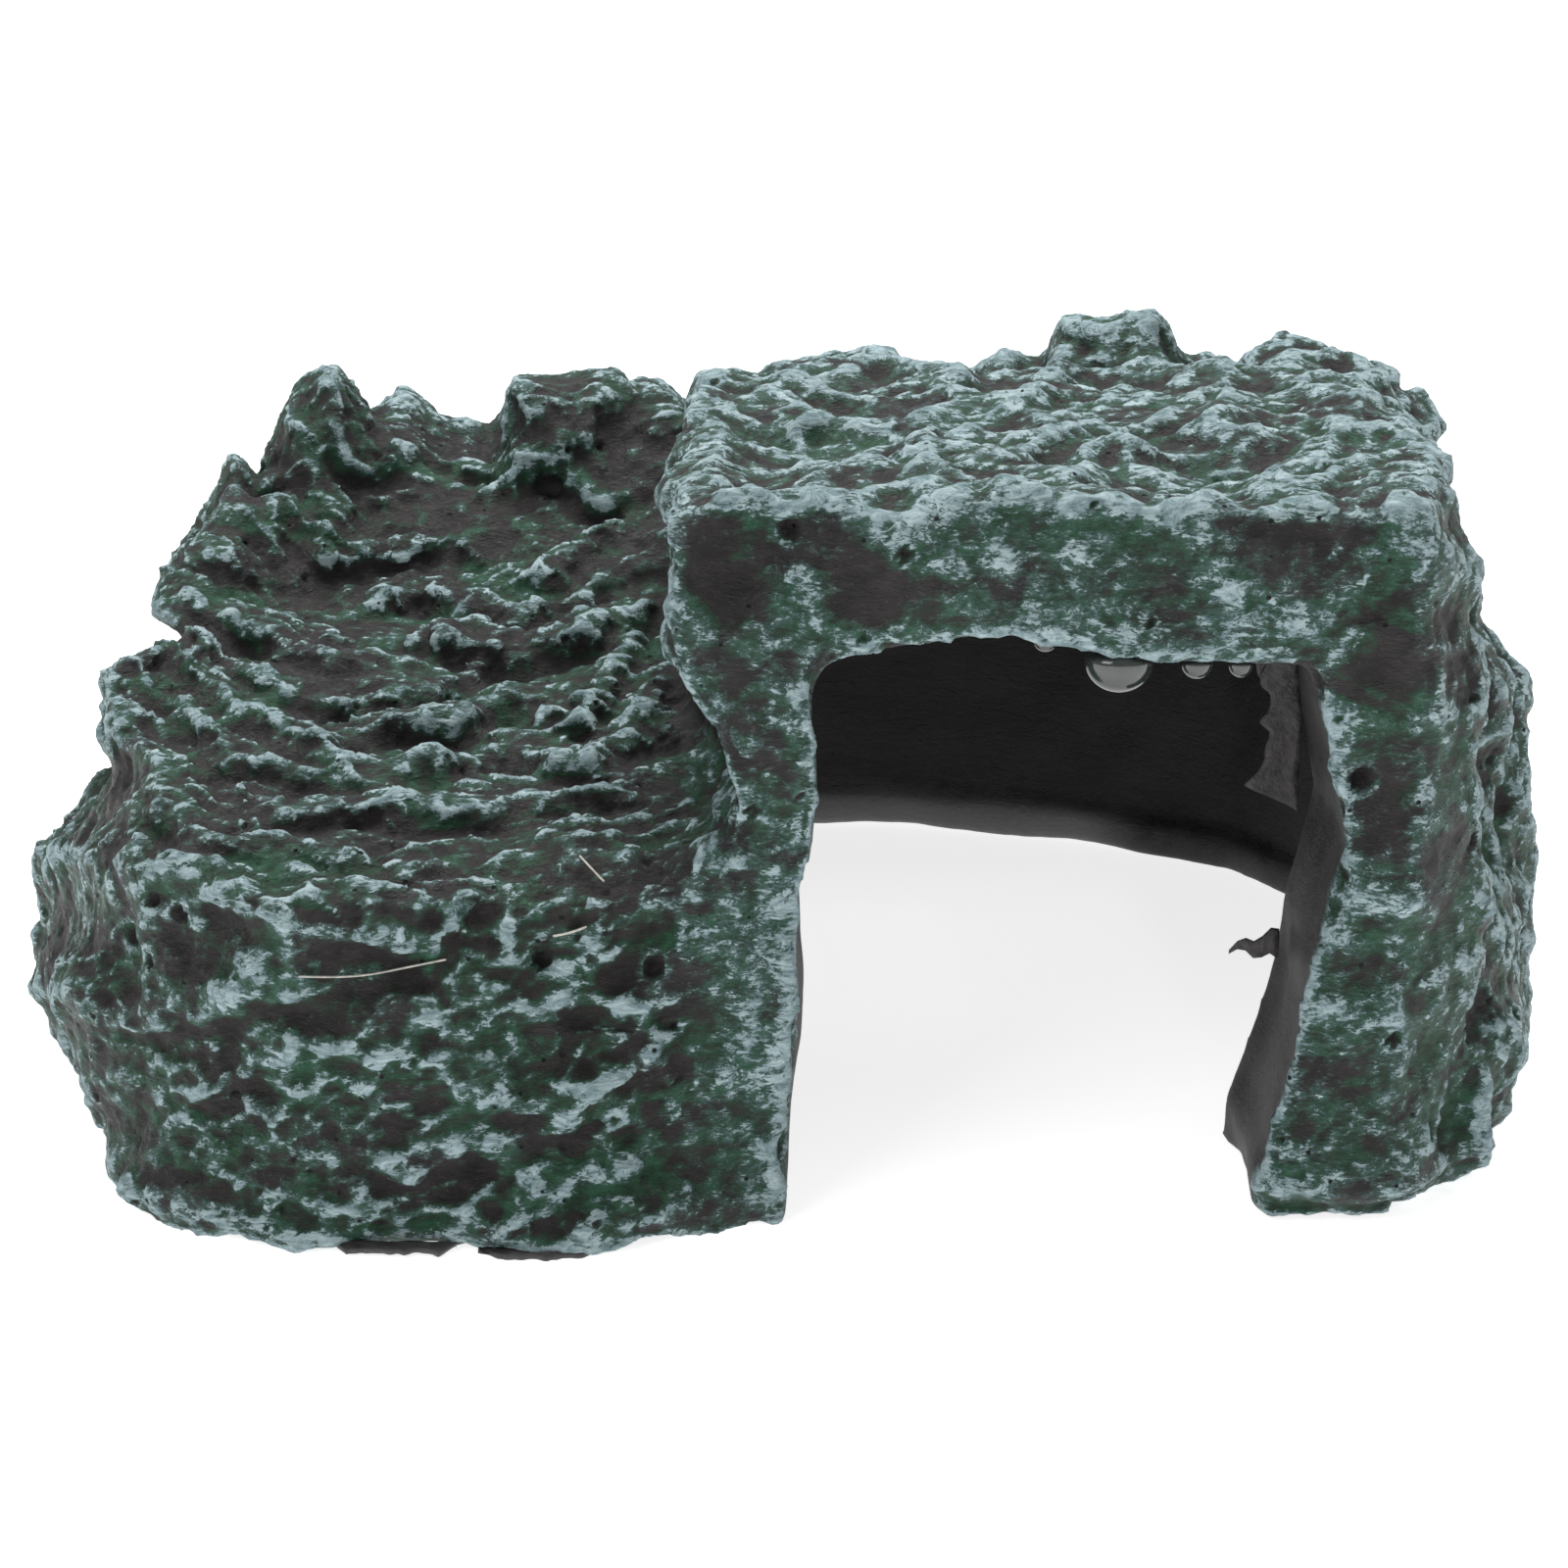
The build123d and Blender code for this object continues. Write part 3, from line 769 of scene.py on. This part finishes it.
# Each bead's place on the floor, half its width and half its height.
BEADS = [
    (25.5, -59.5, 1.1, 1.0), (32.5, -59.5, 3.3, 3.1), (39.8, -59.5, 1.5, 1.5),
    (44.0, -59.0, 1.2, 1.3)]
drips = bmesh.new()
for bead_x, bead_y, wide_mm, tall_mm in BEADS:
    centre = Vector((bead_x, bead_y, underside(bead_x, bead_y) - 0.4 * tall_mm)) * MM
    size = [wide_mm * MM, 0.8 * wide_mm * MM, tall_mm * MM, 1]
    place = Matrix.Translation(centre) @ Matrix.Diagonal(size)
    for vert in bmesh.ops.create_icosphere(drips, subdivisions=4, radius=1.0, matrix=place)["verts"]:
        if vert.co.z > centre.z:
            vert.co.z = centre.z + 0.45 * (vert.co.z - centre.z)
beads = hand_in(finished("lintel_beads", drips), ["lintel_drips"])

# %% [markdown]
# ## Flash
#
# Where two halves of a mould meet, resin creeps out as a thin fin that breaks off ragged. Two fins
# meet in the corner of the entrance, a thorn sticks out of the right jamb, and two tongues lie at
# the foot of the bluff. Each fin is a grid laid along a path, with noise for its torn edge,
# and the solidify operator gives it thickness.


# %% Lay out the fins
def fin(mesh, path, outward, width, thick, seed, parts=(40, 6)):
    """A ragged ribbon along a path; it spreads by width towards outward."""
    made = bmesh.ops.create_grid(mesh, x_segments=parts[0], y_segments=parts[1], size=0.5)["verts"]
    corners = [Vector(p) for p in path]
    outward = Vector(outward)
    for vert in made:
        along, across = vert.co.x + 0.5, vert.co.y + 0.5
        spot = along * (len(corners) - 1)
        first = min(int(spot), len(corners) - 2)
        base = corners[first].lerp(corners[first + 1], spot - first)
        torn = 0.8 + 0.55 * noise.noise(Vector((along * 5, seed, 0)))
        torn += 0.16 * noise.noise(Vector((along * 14, seed, 3)))
        taper = min(1.0, 8 * along, 8 * (1 - along))
        curl = 0.3 * noise.noise(Vector((along * 4, across * 1.5, seed)))
        spread = outward * (width * across * max(0.3, torn) * taper)
        vert.co = (base + spread + Vector((0, curl, 0.3 * curl))) * MM
    faces = list({face for vert in made for face in vert.link_faces})
    bmesh.ops.recalc_face_normals(mesh, faces=faces)
    bmesh.ops.solidify(mesh, geom=faces, thickness=thick * MM)


jamb_fin = bmesh.new()
fin(jamb_fin, [(38, -41.5, 60), (43, -41.5, 60), (47.5, -41.5, 58.5), (50, -41.5, 54)],
    (-0.15, 0, -1), 4.5, 0.5, 2.0)
fin(jamb_fin, [(51.5, -41.5, 58), (52.5, -41.5, 52), (53, -41.5, 46), (53, -41.5, 37)],
    (-1, 0, -0.1), 4.8, 0.6, 5.0)

# The thorn starts as a cone at the origin. Rings are cut in it, and then it is laid on its side,
# bent, and set on the jamb.
thorn = bmesh.ops.create_cone(jamb_fin, cap_ends=True, segments=10,
                              radius1=1.1 * MM, radius2=0.15 * MM, depth=5.0 * MM)
sides = [e for e in {e for v in thorn["verts"] for e in v.link_edges}
         if abs(e.verts[0].co.z - e.verts[1].co.z) > 4 * MM]
bmesh.ops.subdivide_edges(jamb_fin, edges=sides, cuts=5)
for vert in [v for v in jamb_fin.verts if v.co.y > -20 * MM]:
    reach, side, lift = vert.co.z / MM + 2.5, vert.co.x / MM, vert.co.y / MM
    wave = 0.45 * math.sin(reach * 2.1) - 0.1 * reach
    vert.co = Vector((51.2 - reach, -45 + 0.45 * side, 24.0 + 1.5 * lift + wave)) * MM
bmesh.ops.recalc_face_normals(jamb_fin, faces=jamb_fin.faces[:])
fins = hand_in(finished("entrance_flash", jamb_fin), ["jamb_flash"])

feet = bmesh.new()
fin(feet, [(-43, -65.5, 0.55), (-37, -66, 0.55), (-31, -66, 0.55)], (0, -1, 0), 2.2, 0.5, 7.0)
fin(feet, [(-28.5, -66, 0.55), (-22, -66, 0.55), (-16.5, -65.5, 0.55)], (0.05, -1, 0), 2.3, 0.5, 9.0)
for vert in feet.verts:
    vert.co.z = max(vert.co.z, 0.0)
bmesh.ops.recalc_face_normals(feet, faces=feet.faces[:])
tongues = hand_in(finished("bluff_foot_flash", feet), ["foot_flash"])

# %% [markdown]
# ## Bristles shed by the paint brush
#
# Three fine bristles are stuck in the paint on the bluff. A bristle is a smooth curve with a round
# section, so it is drawn as a curve with a bevel, its points dropped on the rock, and then made a
# mesh.


# %% Stick on the bristles
def face_of_bluff(x, z):
    """How far forward the bluff stands at a place on its front, in millimetres."""
    close = (np.abs(skin.at[:, 0] - x) < 1.0) & (np.abs(skin.at[:, 2] - z) < 1.0)
    close &= skin.at[:, 1] < -40
    return float(skin.at[close, 1].min())


# Each bristle's path over the front, as (x, z).
BRISTLES = [
    [(-45.2, 28.4), (-42, 28.1), (-38.5, 28.2), (-35, 28.8), (-31.2, 29.8)],
    [(-18.6, 38.4), (-17.4, 37.6), (-16.2, 36.6)],
    [(-21.0, 31.9), (-19.4, 32.2), (-17.8, 32.9)],
]
hairs = bpy.data.curves.new("bristles", "CURVE")
hairs.dimensions = "3D"
hairs.bevel_depth = 0.11 * MM
hairs.bevel_resolution = 1
hairs.use_fill_caps = True
for path in BRISTLES:
    line = hairs.splines.new("NURBS")
    line.points.add(len(path) - 1)
    for point, (hair_x, hair_z) in zip(line.points, path):
        point.co = (hair_x * MM, (face_of_bluff(hair_x, hair_z) - 0.12) * MM, hair_z * MM, 1)
    line.order_u = 3
    line.use_endpoint_u = True
drawn = bpy.data.objects.new("bristle_curves", hairs)
bpy.context.scene.collection.objects.link(drawn)
as_drawn = drawn.evaluated_get(bpy.context.evaluated_depsgraph_get())
bristle_mesh = bpy.data.meshes.new_from_object(as_drawn)
bpy.data.objects.remove(drawn)
bristles = bpy.data.objects.new("brush_bristles", bristle_mesh)
bpy.context.scene.collection.objects.link(bristles)
bristles = hand_in(bristles, ["paint_bristles"])

# %% [markdown]
# ## Paint
#
# Colours are written as they are seen, in sRGB hex, and one function turns them to the linear
# values that Blender adds light in. One small function adds a node, sets it and links it.


# %% Colour and node helpers
def paint(hex_colour):
    """An sRGB hex colour as linear RGBA."""
    parts = [int(hex_colour[i:i + 2], 16) / 255 for i in (1, 3, 5)]
    return [c / 12.92 if c <= 0.04045 else ((c + 0.055) / 1.055) ** 2.4 for c in parts] + [1]


def add(tree, kind, links=None, **settings):
    """A node with its settings, and with its inputs linked or set."""
    made = tree.nodes.new(kind)
    for key, value in settings.items():
        setattr(made, key, value)
    for socket, value in (links or {}).items():
        if isinstance(value, bpy.types.NodeSocket):
            tree.links.new(value, made.inputs[socket])
        else:
            made.inputs[socket].default_value = value
    return made


# %% Stone-filled resin, washed and dry-brushed
def painted_resin():
    """Cast resin with a green wash in patches and pale dry brushing on what stands proud."""
    finish = bpy.data.materials.new("painted cast resin")
    finish.use_nodes = True
    tree = finish.node_tree
    tree.nodes.clear()
    place = add(tree, "ShaderNodeTexCoord").outputs["Object"]
    ridge = add(tree, "ShaderNodeAttribute", attribute_name="ridge").outputs["Fac"]
    bare = add(tree, "ShaderNodeAttribute", attribute_name="bare").outputs["Fac"]
    # Painted shade deep in the hollow, and a painted band of light on the lip of its rear wall.
    painted_hollow_shade = add(tree, "ShaderNodeAttribute", attribute_name="painted_hollow_shade").outputs["Fac"]
    painted_lip_light = add(tree, "ShaderNodeAttribute", attribute_name="painted_lip_light").outputs["Fac"]

    # The brush was drawn across the rock, so its marks are half as tall as they are wide.
    across = add(tree, "ShaderNodeMapping", {
        "Vector": place, "Scale": (1.0, 1.4, 2.1)}).outputs["Vector"]

    def grain(size_mm, detail=4.0, rough=0.6, bend=0.0, over=place):
        return add(tree, "ShaderNodeTexNoise", {
            "Vector": over, "Scale": 1 / (size_mm * MM), "Detail": detail,
            "Roughness": rough, "Distortion": bend}).outputs["Fac"]

    def mapped(value, low, high, first=0.0, last=1.0):
        return add(tree, "ShaderNodeMapRange", {
            "Value": value, "From Min": low, "From Max": high, "To Min": first, "To Max": last},
            interpolation_type="SMOOTHSTEP").outputs["Result"]

    def maths(operation, one, two):
        return add(tree, "ShaderNodeMath", {0: one, 1: two}, operation=operation).outputs[0]

    def mixed(share, under, over):
        return add(tree, "ShaderNodeMix", {"Factor": share, "A": under, "B": over},
                   data_type="RGBA").outputs["Result"]

    def total(*weighed):
        """The sum of value times weight."""
        out = 0.0
        for value, weight in weighed:
            out = add(tree, "ShaderNodeMath", {0: value, 1: weight, 2: out},
                      operation="MULTIPLY_ADD").outputs[0]
        return out

    patches = grain(11.0, 3.0, 0.55, 0.8, across)
    flecks = grain(0.85, 5.0, 0.7, 1.2, across)
    wisps = grain(3.2, 5.0, 0.7, 1.6, across)
    painted = maths("SUBTRACT", 1.0, bare)

    # The resin's own grey, then painted shade that turns it near black deep inside the hollow and a
    # painted band of light that makes it paler on the lip of the rear wall, then the green wash.
    body = mixed(mapped(grain(3.0), 0.35, 0.65), paint("#1f1d1d"), paint("#2d2a2a"))
    body = mixed(mapped(flecks, 0.55, 0.7), body, paint("#3a3636"))
    body = mixed(painted_hollow_shade, body, paint("#050506"))
    body = mixed(painted_lip_light, body, paint("#5c5a5c"))
    damp = total((ridge, 0.35), (patches, 1.0), (wisps, 0.3))
    green = mixed(mapped(grain(1.6, 5.0), 0.3, 0.7), paint("#13301e"), paint("#254f38"))
    washed = mixed(maths("MULTIPLY", mapped(damp, 0.67, 0.87), painted), body, green)

    # A thin haze of pale paint first, and full strokes where the rock stands proudest.
    level = total((ridge, 1.0), (flecks, 1.5), (wisps, 1.0), (patches, 0.95))
    haze = maths("MULTIPLY", mapped(level, 2.04, 2.42), painted)
    brushed = maths("MULTIPLY", mapped(level, 2.34, 2.46), painted)
    pale = mixed(mapped(wisps, 0.38, 0.66), paint("#72898d"), paint("#adc0c4"))
    colour = mixed(maths("MULTIPLY", haze, 0.5), washed, paint("#536b6c"))
    colour = mixed(maths("MULTIPLY", brushed, 0.92), colour, pale)

    # Pinholes too small to model: the middles of a few of the cells, painted near black, darker than the
    # resin, as the shade inside each pit.
    holes = add(tree, "ShaderNodeTexVoronoi", {"Vector": place, "Scale": 1 / (2.2 * MM)})
    tiny = mapped(holes.outputs["Distance"], 0.08, 0.13, 1.0, 0.0)
    lot = add(tree, "ShaderNodeSeparateColor", {"Color": holes.outputs["Color"]}).outputs[0]
    chosen = mapped(lot, 0.72, 0.74)
    shaded_pinholes = maths("MULTIPLY", maths("MULTIPLY", tiny, chosen), painted)
    colour = mixed(shaded_pinholes, colour, paint("#0b0b0b"))

    height = total((flecks, 0.45), (wisps, 0.55), (brushed, 0.06), (shaded_pinholes, -0.8))
    height = maths("MULTIPLY", height, mapped(bare, 0.0, 1.0, 1.0, 0.35))
    bump = add(tree, "ShaderNodeBump", {"Height": height, "Strength": 0.9, "Distance": 1.1 * MM})
    rough = mapped(total((brushed, 0.4), (flecks, 0.3)), 0.0, 0.7, 0.48, 0.75)
    shader = add(tree, "ShaderNodeBsdfPrincipled", {
        "Base Color": colour, "Roughness": rough, "IOR": 1.5, "Specular IOR Level": 0.3,
        "Normal": bump.outputs["Normal"]})
    add(tree, "ShaderNodeOutputMaterial", {"Surface": shader.outputs[0]})
    return finish


resin = painted_resin()
for piece in rock:
    piece.data.materials.clear()
    piece.data.materials.append(resin)
print("nodes in the painted resin:", len(resin.node_tree.nodes))

# %% [markdown]
# ## The plain finishes
#
# Cured beads are glossy, because their skin set in air and never touched the mould. Torn flash is
# dull and a little paler on its thin edges. A bristle is drawn nylon: smooth and translucent, and
# so thin that a pale colour is all the eye gets.


# %% Bead, flash and bristle
def plain_finish(name, dark, light, size_mm, roughness, bump_mm, coat=0.0):
    """A two-tone finish with fine bumps: colours in hex, pattern and bump in millimetres."""
    finish = bpy.data.materials.new(name)
    finish.use_nodes = True
    tree = finish.node_tree
    tree.nodes.clear()
    place = add(tree, "ShaderNodeTexCoord").outputs["Object"]
    speck = add(tree, "ShaderNodeTexNoise", {
        "Vector": place, "Scale": 1 / (size_mm * MM), "Detail": 5.0, "Roughness": 0.65}).outputs["Fac"]
    share = add(tree, "ShaderNodeMapRange", {
        "Value": speck, "From Min": 0.35, "From Max": 0.65}).outputs["Result"]
    colour = add(tree, "ShaderNodeMix", {"Factor": share, "A": paint(dark), "B": paint(light)},
                 data_type="RGBA").outputs["Result"]
    rough = add(tree, "ShaderNodeMapRange", {
        "Value": speck, "From Min": 0.3, "From Max": 0.7,
        "To Min": 0.8 * roughness, "To Max": 1.2 * roughness})
    bump = add(tree, "ShaderNodeBump", {"Height": speck, "Strength": 0.6, "Distance": bump_mm * MM})
    shader = add(tree, "ShaderNodeBsdfPrincipled", {
        "Base Color": colour, "Roughness": rough.outputs["Result"], "IOR": 1.5, "Coat Weight": coat,
        "Coat Roughness": 0.05, "Normal": bump.outputs["Normal"]})
    add(tree, "ShaderNodeOutputMaterial", {"Surface": shader.outputs[0]})
    return finish


for piece, finish in (
        (beads, plain_finish("cured resin bead", "#1c2120", "#2b3230", 2.0, 0.12, 0.05, 0.6)),
        (fins, plain_finish("torn resin flash", "#262424", "#4a4747", 1.1, 0.6, 0.5)),
        (tongues, plain_finish("torn resin flash at the foot", "#2e2c2c", "#4b4848", 1.3, 0.65, 0.4)),
        (bristles, plain_finish("nylon bristle", "#8e8c86", "#b9b6ae", 0.8, 0.35, 0.02))):
    piece.data.materials.clear()
    piece.data.materials.append(finish)
print("materials:", [m.name for m in bpy.data.materials])

# %% [markdown]
# ## Studio
#
# A pale floor, a white surround, one large soft light from above and a weaker one from the front
# left. The rock is dark, so its form is read from the light that its upward faces catch. The camera
# stands at EYE, from where the outline was checked.

# %% Floor, light and camera
ground = bmesh.new()
bmesh.ops.create_grid(ground, x_segments=1, y_segments=1, size=3.0)
floor = finished("floor", ground)
pale_floor = bpy.data.materials.new("pale floor")
pale_floor.use_nodes = True
floor_paint = {"Base Color": paint("#f4f4f4"), "Roughness": 0.9,
               "Emission Color": (1, 1, 1, 1), "Emission Strength": 0.8}
for socket, value in floor_paint.items():
    pale_floor.node_tree.nodes["Principled BSDF"].inputs[socket].default_value = value
floor.data.materials.append(pale_floor)

surround = bpy.data.worlds.new("white surround")
surround.use_nodes = True
surround.node_tree.nodes["Background"].inputs["Color"].default_value = (1, 1, 1, 1)
surround.node_tree.nodes["Background"].inputs["Strength"].default_value = 0.42
bpy.context.scene.world = surround


def softbox(name, place, target, size, watts):
    """A square soft light at a place, turned to a target, both in metres."""
    lamp = bpy.data.lights.new(name, "AREA")
    lamp.size = size
    lamp.energy = watts
    holder = bpy.data.objects.new(name, lamp)
    holder.location = place
    holder.rotation_euler = (Vector(target) - Vector(place)).to_track_quat("-Z", "Y").to_euler()
    bpy.context.scene.collection.objects.link(holder)


softbox("overhead", (0.0, 0.16, 0.72), (0, 0, 0.03), 0.5, 8)
softbox("front", (-0.45, -0.6, 0.6), (0, 0, 0.03), 0.4, 2.0)

LOOKING_DOWN = 18.25        # degrees below level
camera = bpy.data.cameras.new("camera")
camera.lens = 73.35
camera.sensor_width = 36
camera.clip_start = 0.01
viewer = bpy.data.objects.new("camera", camera)
viewer.location = Vector(EYE) * MM
viewer.rotation_euler = (math.radians(90 - LOOKING_DOWN), 0, 0)
bpy.context.scene.collection.objects.link(viewer)
bpy.context.scene.camera = viewer
bpy.context.scene.view_settings.view_transform = "Standard"
print("camera at", tuple(round(v, 3) for v in viewer.location))
